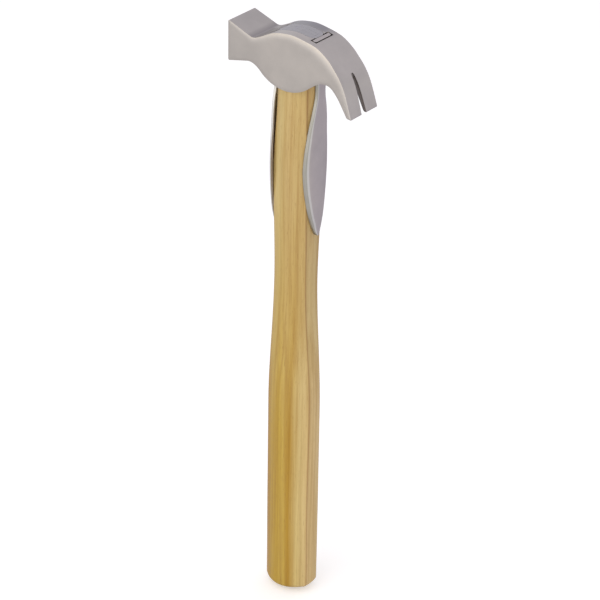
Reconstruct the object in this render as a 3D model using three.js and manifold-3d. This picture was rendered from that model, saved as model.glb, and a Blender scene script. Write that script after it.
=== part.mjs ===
import * as THREE from "three";
import { mergeVertices } from "three/addons/utils/BufferGeometryUtils.js";
import Module from "manifold-3d";

// A small strapped claw hammer. Lengths are in millimetres. The origin is the middle of the
// handle's flat butt end and +Z runs up the handle. The striking face looks along -X, the claw
// reaches towards +X, and the plane Y = 0 is the hammer's mirror plane.

const overallLength = 342; // butt end to the crown of the head
const clearance = 0.3; // between pieces that fit in or on one another
const overrun = 6; // how far a cutter runs past what it cuts

// The head, a slab-sided forging. Its drops are measured down from the crown.
const headWidth = 23; // between the flat cheeks
const edgeRadius = 0.9; // rounding where the cheeks meet the outline
const pollReach = 37.7; // handle axis to the striking face
const faceHeight = 22.4;
const faceDrop = 1.6; // crown to the top edge of the striking face
const faceChamfer = 0.9; // on the face's top and bottom edges
const neckReach = 25.2; // handle axis to the end of the flared poll
const neckHeight = 15.1;
const neckDrop = 6;
const valleyReach = 21.3; // handle axis to the valley between the poll and the crown
const valleyDrop = 7;
const cheekDrop = 31.6; // crown to the lowest point of the cheeks
const cheekRadius = 23;
const clawReach = 41.8; // handle axis to the claw's tips
const clawDrop = 36.9; // crown to the claw's tips
const slotLength = 19; // nail slot, measured square to its cut
const slotTipWidth = 5.6;
const slotRootWidth = 2.2;
const slotLeanDegrees = 36.5; // between the slot's cut and the handle axis
const slotCutLength = 42; // of the cutter that makes the slot, through the claw

// The two straps, leaf-shaped steel plates that lie on the handle and run up through the eye.
const strapLength = 114.5; // crown level to the tip
const strapThickness = 2.2;
const strapWidth = 19.6; // at the widest part of the leaf
const strapTopWidth = 14.2; // at the crown
const strapNeckWidth = 8.2; // just under the head
const strapSpread = 28.8; // over both straps at the crown
const strapClose = 28.2; // over both straps at their tips
const strapDishRadius = 22; // the leaf is hollowed round the handle
const strapBevelWidth = 1.4;
const strapBevelDepth = 0.6;

// The handle's sections: depth runs along X, width along Y. A station's facets are its two narrow
// sides: they meet the broad faces in four arrises, which lie at the facet depth and facet width.
// Near the head the handle, and the straps with it, lean a little towards the claw.
const headLean = 1.05; // at the crown
const headLeanLength = 150; // below the crown, where the lean starts
const tangWidth = 10.6;
const tangCorner = 3.6;
const buttRadius = 3;
const buttStation = { height: 0, depth: 28.6, width: 23.8, facetDepth: 27.5, facetWidth: 9.6 };
const palmStation = { height: 62, depth: 28.4, width: 23.2, facetDepth: 27.2, facetWidth: 10.6 };
const swellStation = { height: 118, depth: 29.2, width: 23.8, facetDepth: 28, facetWidth: 9.7 };
const waistStation = { height: 200, depth: 22.1, width: 17.8, facetDepth: 21, facetWidth: 10.9 };
const seatStation = { height: 264, depth: 24.8, width: 18.4, facetDepth: 21.4, facetWidth: 14.8 };
const neckStation = { height: 314, depth: 25.6, width: 15.6, facetDepth: 18.4, facetWidth: 12.4 };

// The wedges in the tang.
const woodWedgeLength = 20;
const woodWedgeThickness = 3;
const woodWedgeToe = 1;
const woodWedgeDepth = 24; // below the crown
const steelWedgeLength = 7.4;
const steelWedgeThickness = 1.8;
const steelWedgeToe = 0.7;
const steelWedgeDepth = 14; // below the crown
const steelWedgeOffset = 2.5; // towards the poll from the middle of the tang

// The rivets through both straps and the handle.
const rivetDiameter = 4;
const rivetHeadDiameter = 6;
const rivetHeadDepth = 1;
const rivetHeadLand = 0.3; // straight rim of the countersunk head
const upperRivetDrop = 62; // below the crown
const lowerRivetDrop = 95;

// Numbers of steps in the curved surfaces.
const outlineSteps = 3;
const edgeSteps = 3;
const facetSteps = 6;
const broadSteps = 12;
const handleSteps = 56;
const buttSteps = 4;
const leafSteps = 46;
const dishSteps = 8;
const cornerSteps = 4;
const rivetSteps = 24;

const wasm = await Module();
wasm.setup();

function solidOf(geometry) {
  const bare = geometry.clone();
  bare.deleteAttribute("normal");
  bare.deleteAttribute("uv");
  const merged = mergeVertices(bare);
  return new wasm.Manifold(
    new wasm.Mesh({
      numProp: 3,
      vertProperties: merged.attributes.position.array,
      triVerts: new Uint32Array(merged.index.array),
    }),
  );
}

function piece(name, body, material) {
  const { vertProperties, triVerts } = body.getMesh();
  const geometry = new THREE.BufferGeometry();
  geometry.setAttribute("position", new THREE.BufferAttribute(vertProperties, 3));
  geometry.setIndex(new THREE.BufferAttribute(triVerts, 1));
  geometry.computeVertexNormals();
  const mesh = new THREE.Mesh(geometry, material);
  mesh.name = name;
  return mesh;
}

// A value read off a row of [place, value] stations, on a curve that is smooth through each.
function readOff(stations, place) {
  const last = stations.length - 1;
  const slope = (i) => {
    const [before, after] = [stations[Math.max(i - 1, 0)], stations[Math.min(i + 1, last)]];
    return (after[1] - before[1]) / (after[0] - before[0]);
  };
  let next = 1;
  while (next < last && stations[next][0] < place) next += 1;
  const [start, startValue] = stations[next - 1];
  const [end, endValue] = stations[next];
  const span = end - start;
  const t = THREE.MathUtils.clamp((place - start) / span, 0, 1);
  const bend = t * (1 - t);
  const line = THREE.MathUtils.lerp(startValue, endValue, t * t * (3 - 2 * t));
  return line + span * bend * ((1 - t) * slope(next - 1) - t * slope(next));
}

// A closed skin over rings of points. ringAt(height) lists a ring's points, anticlockwise from +X.
function loft(heights, ringAt) {
  const rings = heights.map(ringAt);
  const sides = rings[0].length;
  const rows = heights.length - 1;
  const geometry = new THREE.CylinderGeometry(1, 1, 1, sides, rows);
  const position = geometry.attributes.position;
  for (let i = 0; i < position.count; i += 1) {
    const row = Math.round((position.getY(i) + 0.5) * rows);
    const ring = rings[row];
    const turn = Math.atan2(position.getX(i), position.getZ(i)) / (2 * Math.PI);
    const atMiddle = Math.hypot(position.getX(i), position.getZ(i)) < 0.5;
    const side = (Math.round(turn * sides) + sides) % sides;
    const point = atMiddle ? middleOf(ring) : ring[side];
    position.setXYZ(i, point.x, point.y, heights[row]);
  }
  return solidOf(geometry);
}

function middleOf(ring) {
  const sum = ring.reduce((total, point) => total.add(point), new THREE.Vector2());
  return sum.divideScalar(ring.length);
}

// Heights from one end to the other in even steps.
function evenHeights(from, to, steps) {
  return Array.from({ length: steps + 1 }, (_, i) => THREE.MathUtils.lerp(from, to, i / steps));
}

// An outline in X and Z, carried evenly to both sides of the plane Y = 0.
function slab(shape, width, rounding) {
  const geometry = new THREE.ExtrudeGeometry(shape, {
    depth: width - 2 * rounding,
    curveSegments: outlineSteps,
    bevelEnabled: rounding > 0,
    bevelThickness: rounding,
    bevelSize: rounding,
    bevelOffset: -rounding,
    bevelSegments: edgeSteps,
  });
  geometry.translate(0, 0, rounding - width / 2);
  geometry.rotateX(Math.PI / 2);
  return solidOf(geometry);
}

// The crown line of the head, from the claw's tips over the eye and the valley to the neck.
const crownClawShares = [
  [1, 1],
  [0.9, 0.655],
  [0.81, 0.46],
  [0.704, 0.315],
  [0.603, 0.204],
  [0.452, 0.091],
  [0.259, 0.028],
  [0.06, 0],
];
const crownPollShares = [
  [0.268, 0.114],
  [0.502, 0.343],
  [0.78, 0.77],
  [1, 1],
];

function crownPoints() {
  const neckTop = new THREE.Vector2(-neckReach, -neckDrop);
  return [
    ...crownClawShares.map(([x, z]) => new THREE.Vector2(x * clawReach, -z * clawDrop)),
    ...crownPollShares.map(([x, z]) => new THREE.Vector2(-x * valleyReach, -z * valleyDrop)),
    neckTop,
  ];
}

// The underside of the claw, from the cheek to the tips.
const undersideShares = [
  [0.432, 0.648],
  [0.504, 0.6],
  [0.578, 0.583],
  [0.65, 0.594],
  [0.707, 0.638],
  [0.785, 0.743],
  [0.86, 0.872],
  [0.923, 0.985],
];
const cheekShares = [-0.73, 0.62]; // where the round of the cheek starts and ends, of its radius

// The head seen from the side, anticlockwise from the foot of the striking face.
function headOutline() {
  const faceFoot = -faceDrop - faceHeight;
  const neckFoot = -neckDrop - neckHeight;
  const flare = (neckFoot - faceFoot) / (pollReach - neckReach);
  const turnIn = neckFoot + flare * (neckReach - valleyReach);
  const cheekMiddle = cheekRadius - cheekDrop;
  const [cheekStart, cheekEnd] = cheekShares.map((share) => -Math.acos(share));
  const outline = new THREE.Shape();
  outline.moveTo(-pollReach, faceFoot + faceChamfer);
  outline.lineTo(faceChamfer - pollReach, faceFoot + flare * faceChamfer);
  outline.lineTo(-neckReach, neckFoot);
  outline.quadraticCurveTo(
    -valleyReach,
    turnIn,
    cheekRadius * Math.cos(cheekStart),
    cheekMiddle + cheekRadius * Math.sin(cheekStart),
  );
  outline.absarc(0, cheekMiddle, cheekRadius, cheekStart, cheekEnd, false);
  outline.splineThru(undersideShares.map(([x, z]) => new THREE.Vector2(x * clawReach, -z * clawDrop)));
  outline.lineTo(clawReach, -clawDrop);
  outline.splineThru(crownPoints().slice(1));
  const topFlare = (neckDrop - faceDrop) / (pollReach - neckReach);
  outline.lineTo(faceChamfer - pollReach, -faceDrop - topFlare * faceChamfer);
  outline.lineTo(-pollReach, -faceDrop - faceChamfer);
  return outline;
}

function headBlank() {
  return slab(headOutline(), headWidth, edgeRadius);
}

// Everything above the crown line, to cut what passes through the eye flush with the crown.
function aboveCrown() {
  const sky = new THREE.Shape();
  const points = crownPoints();
  const top = 2 * overrun;
  sky.moveTo(points[0].x, points[0].y);
  sky.splineThru(points.slice(1));
  sky.lineTo(-neckReach, top);
  sky.lineTo(clawReach, top);
  return slab(sky, headWidth + overrun, 0);
}

// The V-shaped nail slot, drawn square to its cut, with a round root.
function slotCutter() {
  const half = { root: slotRootWidth / 2, tip: slotTipWidth / 2 };
  const spread = (half.tip - half.root) / slotLength;
  const shape = new THREE.Shape();
  shape.moveTo(-half.tip - spread * overrun, -overrun);
  shape.lineTo(half.tip + spread * overrun, -overrun);
  shape.lineTo(half.root, slotLength - half.root);
  shape.absarc(0, slotLength - half.root, half.root, 0, Math.PI, false);
  const geometry = new THREE.ExtrudeGeometry(shape, {
    depth: slotCutLength,
    curveSegments: facetSteps,
    bevelEnabled: false,
  });
  geometry.translate(0, 0, -slotCutLength / 2);
  geometry.rotateZ(Math.PI / 2);
  geometry.rotateY(THREE.MathUtils.degToRad(slotLeanDegrees));
  geometry.translate(clawReach, 0, -clawDrop);
  return solidOf(geometry);
}

// Half the width of a strap's leaf, from its neck to its tip, along the strap's length.
const neckStartShare = 0.82; // where the taper through the eye ends, of the neck's drop
const leafShares = [
  [0.3, 0.42],
  [0.361, 0.565],
  [0.432, 0.712],
  [0.503, 0.834],
  [0.56, 0.922],
  [0.62, 0.985],
  [0.67, 1],
  [0.76, 0.905],
  [0.837, 0.751],
  [0.891, 0.61],
  [0.944, 0.417],
  [0.981, 0.225],
  [1, 0.07],
];

function strapHalfWidth(drop) {
  const [first, ...rest] = leafShares;
  const neckDropped = first[0] * strapLength;
  const stations = [
    [-overrun, strapTopWidth / 2],
    [0, strapTopWidth / 2],
    [neckDropped * neckStartShare, strapNeckWidth / 2],
    [neckDropped, strapNeckWidth / 2],
    ...rest.map(([place, half]) => [place * strapLength, (half * strapWidth) / 2]),
  ];
  return readOff(stations, drop);
}

// How far the handle and the straps lie towards the claw at a drop below the crown.
function leanAt(drop) {
  return headLean * Math.max(0, 1 - drop / headLeanLength);
}

// How far a strap's outer face lies from the middle of the handle at a drop below the crown.
function strapOuter(drop) {
  return THREE.MathUtils.lerp(strapSpread, strapClose, drop / strapLength) / 2;
}

// The hollow of a strap: flat in the eye, wrapped round the handle under the head.
function strapSag(drop, y) {
  const dished = THREE.MathUtils.smoothstep(drop, cheekDrop, strapLength / 2);
  return (dished * y * y) / (2 * strapDishRadius);
}

// A strap on one side of the handle, with every face moved out by grow.
const clawSide = 1;
const pollSide = -1;

function strapBody(side, grow) {
  const drops = leafDrops();
  const ring = (height) => {
    const drop = -height;
    const half = strapHalfWidth(drop) + grow;
    const outer = strapOuter(drop) + grow;
    const inner = strapOuter(drop) - strapThickness - grow;
    const bevel = Math.min(strapBevelWidth, half / 2);
    const points = [];
    for (let i = 0; i <= dishSteps; i += 1) {
      const y = (half - bevel) * ((2 * i) / dishSteps - 1);
      points.push(new THREE.Vector2(outer - strapSag(drop, y), y));
    }
    const edge = (strapBevelDepth * bevel) / strapBevelWidth;
    points.push(new THREE.Vector2(outer - strapSag(drop, half) - edge, half));
    for (let i = 0; i <= dishSteps; i += 1) {
      const y = half * (1 - (2 * i) / dishSteps);
      points.push(new THREE.Vector2(inner - strapSag(drop, y), y));
    }
    points.push(new THREE.Vector2(outer - strapSag(drop, half) - edge, -half));
    return points.map((p) => new THREE.Vector2(side * p.x + leanAt(drop), side * p.y));
  };
  return loft(drops.map((drop) => -drop), ring);
}

// The drops of a strap's rings, closer together towards its tip.
function leafDrops() {
  const drops = [];
  for (let i = 0; i <= leafSteps; i += 1) {
    const share = Math.sin(((i / leafSteps) * Math.PI) / 2);
    drops.push(THREE.MathUtils.lerp(-overrun, strapLength, share));
  }
  return drops.reverse();
}

// A countersunk rivet through both straps, or the hole for it. A hole is wider by room all round
// and runs on past the straps' outer faces.
function rivetBody(drop, room, run) {
  const radius = rivetDiameter / 2 + room;
  const headRadius = rivetHeadDiameter / 2 + room;
  const end = strapOuter(drop) - strapSag(drop, rivetHeadDiameter / 2);
  const coneStart = end - rivetHeadDepth;
  const coneEnd = end - rivetHeadLand;
  const profile = [
    [0, -end - run],
    [headRadius, -end - run],
    [headRadius, -coneEnd],
    [radius, -coneStart],
    [radius, coneStart],
    [headRadius, coneEnd],
    [headRadius, end + run],
    [0, end + run],
  ];
  const geometry = new THREE.LatheGeometry(
    profile.map(([r, y]) => new THREE.Vector2(r, y)),
    rivetSteps,
  );
  geometry.rotateZ(-Math.PI / 2);
  geometry.translate(leanAt(drop), 0, -drop);
  return solidOf(geometry);
}

// A wedge that tapers down from the crown, its long side along X.
function wedgeBody(length, thickness, toe, depth, grow) {
  const rise = overrun;
  const taper = (thickness - toe) / (2 * depth);
  const shape = new THREE.Shape();
  const foot = toe / 2 + grow;
  const top = thickness / 2 + grow + taper * rise;
  shape.moveTo(-foot, -depth - grow);
  shape.lineTo(foot, -depth - grow);
  shape.lineTo(top, rise);
  shape.lineTo(-top, rise);
  const width = length + 2 * grow;
  const geometry = new THREE.ExtrudeGeometry(shape, { depth: width, bevelEnabled: false });
  geometry.translate(0, 0, -width / 2);
  geometry.rotateX(Math.PI / 2);
  geometry.rotateZ(Math.PI / 2);
  return solidOf(geometry);
}

function woodWedgeBody(grow) {
  return wedgeBody(woodWedgeLength, woodWedgeThickness, woodWedgeToe, woodWedgeDepth, grow)
    .translate([leanAt(0), 0, 0]);
}

function steelWedgeBody(grow) {
  return wedgeBody(steelWedgeLength, steelWedgeThickness, steelWedgeToe, steelWedgeDepth, grow)
    .rotate([0, 0, 90])
    .translate([leanAt(0) - steelWedgeOffset, 0, 0]);
}

// The tang, or the hole for it: a post of rounded section that reaches past the straps' inner
// faces by reach, and is wider than the tang by room on each side.
function tangBody(reach, room, foot) {
  const ring = (height) => {
    const halfDepth = strapOuter(-height) - strapThickness + reach;
    const section = roundedRing(halfDepth, tangWidth / 2 + room, tangCorner + room);
    return section.map((p) => new THREE.Vector2(p.x + leanAt(-height), p.y));
  };
  return loft([-foot, overrun], ring);
}

// A rectangle with round corners, anticlockwise from +X.
function roundedRing(halfDepth, halfWidth, corner) {
  const points = [];
  for (let quarter = 0; quarter < 4; quarter += 1) {
    const [signX, signY] = [
      [1, 1],
      [-1, 1],
      [-1, -1],
      [1, -1],
    ][quarter];
    for (let i = 0; i <= cornerSteps; i += 1) {
      const angle = ((quarter + i / cornerSteps) * Math.PI) / 2;
      points.push(
        new THREE.Vector2(
          signX * (halfDepth - corner) + corner * Math.cos(angle),
          signY * (halfWidth - corner) + corner * Math.sin(angle),
        ),
      );
    }
  }
  return points;
}

// The handle's section at a height above the butt, before its butt edge is rounded.
const stations = [buttStation, palmStation, swellStation, waistStation, seatStation, neckStation];

function sectionAt(height) {
  let next = 1;
  while (next < stations.length - 1 && stations[next].height < height) next += 1;
  const [below, above] = [stations[next - 1], stations[next]];
  const share = (height - below.height) / (above.height - below.height);
  const between = (key) => THREE.MathUtils.lerp(below[key], above[key], ease(share));
  return {
    depth: between("depth") / 2,
    width: between("width") / 2,
    facetDepth: between("facetDepth") / 2,
    facetWidth: between("facetWidth") / 2,
  };
}

function ease(share) {
  return THREE.MathUtils.smoothstep(share, 0, 1);
}

// Points along a shallow arc between two ends that stands off their chord by rise.
function arcBetween(from, to, rise, steps) {
  const chord = to.clone().sub(from);
  const out = new THREE.Vector2(chord.y, -chord.x).normalize();
  return Array.from({ length: steps }, (_, i) => {
    const share = i / steps;
    const lift = rise * (1 - (2 * share - 1) ** 2);
    return from.clone().addScaledVector(chord, share).addScaledVector(out, lift);
  });
}

function handleRing(height) {
  const { depth, width, facetDepth, facetWidth } = sectionAt(height);
  const corner = (x, y) => new THREE.Vector2(x * facetDepth, y * facetWidth);
  const corners = [corner(1, -1), corner(1, 1), corner(-1, 1), corner(-1, -1)];
  const rises = [depth - facetDepth, width - facetWidth];
  const counts = [facetSteps, broadSteps];
  const points = corners.flatMap((from, i) =>
    arcBetween(from, corners[(i + 1) % corners.length], rises[i % 2], counts[i % 2]),
  );
  const pull = buttRadius - Math.sqrt(Math.max(0, buttRadius ** 2 - Math.max(0, buttRadius - height) ** 2));
  const lean = leanAt(overallLength - height);
  return points.map((p) => new THREE.Vector2(p.x * (1 - pull / depth) + lean, p.y * (1 - pull / width)));
}

function handleBlank() {
  const cheekRise = cheekRadius - Math.sqrt(cheekRadius ** 2 - (neckStation.depth / 2) ** 2);
  const top = overallLength - cheekDrop + cheekRise;
  const rounded = Array.from(
    { length: buttSteps },
    (_, i) => buttRadius * (1 - Math.cos(((i / buttSteps) * Math.PI) / 2)),
  );
  return loft([...rounded, ...evenHeights(buttRadius, top, handleSteps)], handleRing);
}

// The pieces, each cut to fit its neighbours.
function makeHead() {
  const eye = tangBody(clearance, clearance, cheekDrop + overrun)
    .add(strapBody(clawSide, clearance))
    .add(strapBody(pollSide, clearance));
  return piece("head", headBlank().subtract(eye).subtract(slotCutter()), forgedSteel());
}

function makeHandle() {
  const crown = [0, 0, overallLength];
  const seat = slab(headOutline(), headWidth + overrun, 0).translate([0, 0, -clearance]);
  const tang = tangBody(-clearance, 0, cheekDrop).subtract(aboveCrown());
  const cuts = [
    seat,
    strapBody(clawSide, clearance),
    strapBody(pollSide, clearance),
    woodWedgeBody(clearance),
    steelWedgeBody(clearance),
    rivetBody(upperRivetDrop, clearance, overrun),
    rivetBody(lowerRivetDrop, clearance, overrun),
  ].map((cut) => cut.translate(crown));
  const [shoulder, ...rest] = cuts;
  const joined = handleBlank().subtract(shoulder).add(tang.translate(crown));
  return piece("handle", rest.reduce((body, cut) => body.subtract(cut), joined), ashWood());
}

function makeStrap(name, side) {
  const body = strapBody(side, 0)
    .subtract(aboveCrown())
    .subtract(rivetBody(upperRivetDrop, clearance, overrun))
    .subtract(rivetBody(lowerRivetDrop, clearance, overrun));
  return piece(name, body, strapSteel());
}

function makeWoodWedge() {
  const body = woodWedgeBody(0).subtract(aboveCrown()).subtract(steelWedgeBody(clearance));
  return piece("wood_wedge", body, ashWood());
}

function makeSteelWedge() {
  return piece("steel_wedge", steelWedgeBody(0).subtract(aboveCrown()), strapSteel());
}

function makeRivet(name, drop) {
  return piece(name, rivetBody(drop, 0, 0), strapSteel());
}

// The materials.
function forgedSteel() {
  return new THREE.MeshStandardMaterial({ color: 0x9c958c, roughness: 0.42, metalness: 0.9 });
}

function strapSteel() {
  return new THREE.MeshStandardMaterial({ color: 0xa8a196, roughness: 0.36, metalness: 0.9 });
}

function ashWood() {
  return new THREE.MeshStandardMaterial({ color: 0xcf9c3e, roughness: 0.45, metalness: 0 });
}

// The assembly. What is measured from the crown is in one group at the crown's height.
const atCrown = new THREE.Group();
atCrown.position.z = overallLength;
atCrown.add(
  makeHead(),
  makeStrap("strap_claw_side", clawSide),
  makeStrap("strap_poll_side", pollSide),
  makeWoodWedge(),
  makeSteelWedge(),
  makeRivet("rivet_upper", upperRivetDrop),
  makeRivet("rivet_lower", lowerRivetDrop),
);

const hammer = new THREE.Group();
hammer.add(makeHandle(), atCrown);

export default hammer;
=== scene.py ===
import math

import bmesh
import bpy
from mathutils import Matrix, Vector


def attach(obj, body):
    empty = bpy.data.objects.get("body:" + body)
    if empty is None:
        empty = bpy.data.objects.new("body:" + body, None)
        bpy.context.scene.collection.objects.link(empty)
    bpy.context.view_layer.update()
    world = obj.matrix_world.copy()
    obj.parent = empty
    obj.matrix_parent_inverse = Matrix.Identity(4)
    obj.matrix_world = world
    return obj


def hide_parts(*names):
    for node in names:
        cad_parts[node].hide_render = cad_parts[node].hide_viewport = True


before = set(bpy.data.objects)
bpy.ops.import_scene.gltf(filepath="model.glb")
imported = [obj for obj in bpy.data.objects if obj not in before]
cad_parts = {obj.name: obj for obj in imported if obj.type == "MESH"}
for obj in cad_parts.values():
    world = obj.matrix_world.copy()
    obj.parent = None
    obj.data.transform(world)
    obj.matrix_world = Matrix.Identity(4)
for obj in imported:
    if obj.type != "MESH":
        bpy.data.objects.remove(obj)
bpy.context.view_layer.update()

# The head. One forged steel body with a square poll, round cheeks and a curved claw, ground on a
# belt and satin polished. Its cheeks roll over softly towards the top. It is driven on to the
# handle, so an eye for the tang and a slot for each strap run up through its middle.
mm = 0.001
crown = 342.0
# Sizes are in millimetres, along the head from the poll (-) to the claw (+), and up from the crown.
face_reach, face_top, face_foot = -37.7, -1.35, -24.0
neck_reach, neck_foot, neck_bend = -25.2, -21.1, (-21.3, -20.2)
cheek_middle, cheek_radius = -8.6, 23.0
cheek_from, cheek_to = -math.acos(-0.73), -math.acos(0.62)
claw_underside = [
    (18.06, -23.9), (21.07, -22.1), (24.2, -21.5), (27.2, -21.8), (29.8, -23.5), (33.2, -27.3),
    (36.35, -32.1), (38.85, -36.2),
]
crown_line = [
    (41.8, -36.9), (37.5, -24.0), (33.75, -16.75), (29.4, -11.4), (25.35, -7.35), (19.0, -3.25),
    (10.8, -1.1), (2.5, 0.0), (-5.7, -0.95), (-10.7, -2.6), (-16.6, -5.6), (-21.3, -7.3),
    (-25.2, -6.2),
]
neck_steps, cheek_steps, underside_steps, crown_steps = 10, 40, 5, 6
poll_width, body_width, tip_width = 22.3, 23.1, 23.7
# How far in from the outline a cheek starts to roll over, at places along the head.
roll_above = [
    (-31, 2.2), (-19, 4.2), (0, 4.4), (20, 5.5), (27, 5.3), (31, 4.5), (35, 3.5), (38.5, 2.4),
    (42, 1.6),
]
roll_below = [(-31, 1.8), (-19, 2.2), (22, 2.2), (41, 1.3)]
roll_near, roll_far, roll_growth = 0.135, 0.09, 2.7
poll_softness, poll_soft_from, poll_soft_to = 0.35, -8, -20
face_corner, tip_outer_corner, tip_inner_corner = 1.1, 0.9, 0.7
tip_corner = 0.9
slot_room, eye_foot, eye_room = 0.70, 38.0, 0.17
edge_radius = 0.13


def curve_through(points, steps):
    """A smooth line through the points."""
    line = []
    last = len(points) - 1
    for i in range(last):
        before, here = Vector(points[max(i - 1, 0)]), Vector(points[i])
        there, after = Vector(points[i + 1]), Vector(points[min(i + 2, last)])
        leave, arrive = (there - before) / 2, (after - here) / 2
        for k in range(steps):
            t = k / steps
            line.append(
                (2 * t**3 - 3 * t**2 + 1) * here + (t**3 - 2 * t**2 + t) * leave
                + (3 * t**2 - 2 * t**3) * there + (t**3 - t**2) * arrive
            )
    return line


def head_outline():
    """The head seen from the side, anticlockwise from the foot of the striking face."""
    def on_cheek(angle):
        across, up = cheek_radius * math.cos(angle), cheek_radius * math.sin(angle)
        return Vector((across, cheek_middle + up))

    line = [Vector((face_reach, face_foot))]
    neck, bend = Vector((neck_reach, neck_foot)), Vector(neck_bend)
    cheek_start = on_cheek(cheek_from)
    for k in range(neck_steps):
        t = k / neck_steps
        line.append((1 - t) ** 2 * neck + 2 * t * (1 - t) * bend + t**2 * cheek_start)
    for k in range(cheek_steps):
        line.append(on_cheek(cheek_from + (cheek_to - cheek_from) * k / cheek_steps))
    line += curve_through([tuple(on_cheek(cheek_to))] + claw_underside, underside_steps)
    line.append(Vector(claw_underside[-1]))
    line += curve_through(crown_line, crown_steps)
    line += [Vector(crown_line[-1]), Vector((face_reach, face_top))]
    return line


def share_between(value, start, end):
    """How far a value has come from start to end, between 0 and 1."""
    return min(max((value - start) / (end - start), 0), 1)


def half_width(x):
    """Half the head's width, a little less at the poll and more at the claw's tips."""
    if x < neck_reach:
        share = share_between(x, neck_reach, face_reach)
        return (body_width + (poll_width - body_width) * share) / 2
    share = share_between(x, 0, crown_line[0][0])
    return (body_width + (tip_width - body_width) * share**2) / 2


def read_off(stations, place):
    """A value read off a row of stations, on a curve that is smooth through each."""
    last = len(stations) - 1
    k = 1
    while k < last and stations[k][0] < place:
        k += 1

    def slope(i):
        before, after = stations[max(i - 1, 0)], stations[min(i + 1, last)]
        return (after[1] - before[1]) / (after[0] - before[0])

    (start, low), (end, high) = stations[k - 1], stations[k]
    span = end - start
    t = share_between(place, start, end)
    line = low + (high - low) * t * t * (3 - 2 * t)
    return line + span * t * (1 - t) * ((1 - t) * slope(k - 1) - t * slope(k))


def roll_reach(x, on_top):
    """How far in from the outline the cheek starts to roll over."""
    return read_off(roll_above if on_top else roll_below, x)


def roll_share(x):
    """How steep the roll is, least at the poll."""
    return 1 - poll_softness * share_between(x, poll_soft_from, poll_soft_to)


def tip_cut(drop):
    """What the round outer corner of a claw's tip takes off the head's half width."""
    short = max(0.0, tip_corner - (drop - crown_line[0][1]))
    return tip_corner - math.sqrt(tip_corner**2 - short**2)


def placed(name, body):
    """The finished mesh as an object of the scene."""
    mesh = bpy.data.meshes.new(name)
    body.to_mesh(mesh)
    body.free()
    piece = bpy.data.objects.new(name, mesh)
    bpy.context.scene.collection.objects.link(piece)
    return piece


def corner_arc(before, corner, after, radius):
    """The points that round one corner of an outline."""
    start = corner + (before - corner).normalized() * radius
    end = corner + (after - corner).normalized() * radius
    arc = []
    for k in range(7):
        t = k / 6
        arc.append((1 - t) ** 2 * start + 2 * t * (1 - t) * corner + t**2 * end)
    return arc


def skinned(body, rings, bands=None):
    """The faces from each ring to the next. A band of them may have a finish of its own."""
    bands = bands or {}
    for low, high in zip(rings, rings[1:]):
        for i in range(len(low)):
            k = (i + 1) % len(low)
            face = body.faces.new((low[i], low[k], high[k], high[i]))
            face.material_index = bands.get(i, 0)


def head_body(name):
    """The forging before its eye and its nail slot are cut.

    Rings run from each cheek's flat out to the outline. Near a corner they start from the same
    point, so that they don't cross there.
    """
    sharp = head_outline()
    count = len(sharp)
    tip = count - 2 - crown_steps * (len(crown_line) - 1) - 1
    corner_radii = {
        0: face_corner, count - 1: face_corner, tip: tip_inner_corner, tip + 1: tip_outer_corner,
    }
    corner_room = 1.3
    inner = []
    for i, p in enumerate(sharp):
        before, after = sharp[i - 1], sharp[(i + 1) % count]
        a = Vector((p.y - before.y, before.x - p.x)).normalized()
        b = Vector((after.y - p.y, p.x - after.x)).normalized()
        inner.append(p - (a + b) / (1 + a.dot(b)) * roll_reach(p.x, i > tip))
    rim = []
    for i, p in enumerate(sharp):
        reach = roll_reach(p.x, i > tip)
        start, outer = inner[i], [p]
        if i in corner_radii:
            outer = corner_arc(sharp[i - 1], p, sharp[(i + 1) % count], corner_radii[i])
        else:
            for corner, radius in corner_radii.items():
                away = (sharp[corner] - p).length
                start = inner[corner] if away < corner_room * reach else start
                outer = [] if away < corner_room * radius else outer
        rim += [(q, start, reach) for q in outer]
    body = bmesh.new()
    shares = [1, 0.85, 0.7, 0.58, 0.46, 0.36, 0.27, 0.19, 0.12, 0.06, 0]
    rings = []
    for side, order, depth in ((-1, shares, roll_near), (1, shares[::-1], roll_far)):
        for share in order:
            ring = []
            for outer, start, reach in rim:
                q = outer + (start - outer) * share
                roll = depth * roll_share(q.x) * reach * (1 - share) ** roll_growth
                half = half_width(q.x) - roll - tip_cut(q.y)
                ring.append(body.verts.new((q.x * mm, side * half * mm, (crown + q.y) * mm)))
            rings.append(ring)
    skinned(body, rings)
    bmesh.ops.remove_doubles(body, verts=body.verts, dist=2e-6)
    bmesh.ops.holes_fill(body, edges=[e for e in body.edges if e.is_boundary], sides=0)
    bmesh.ops.recalc_face_normals(body, faces=body.faces)
    return placed(name, body)


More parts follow.
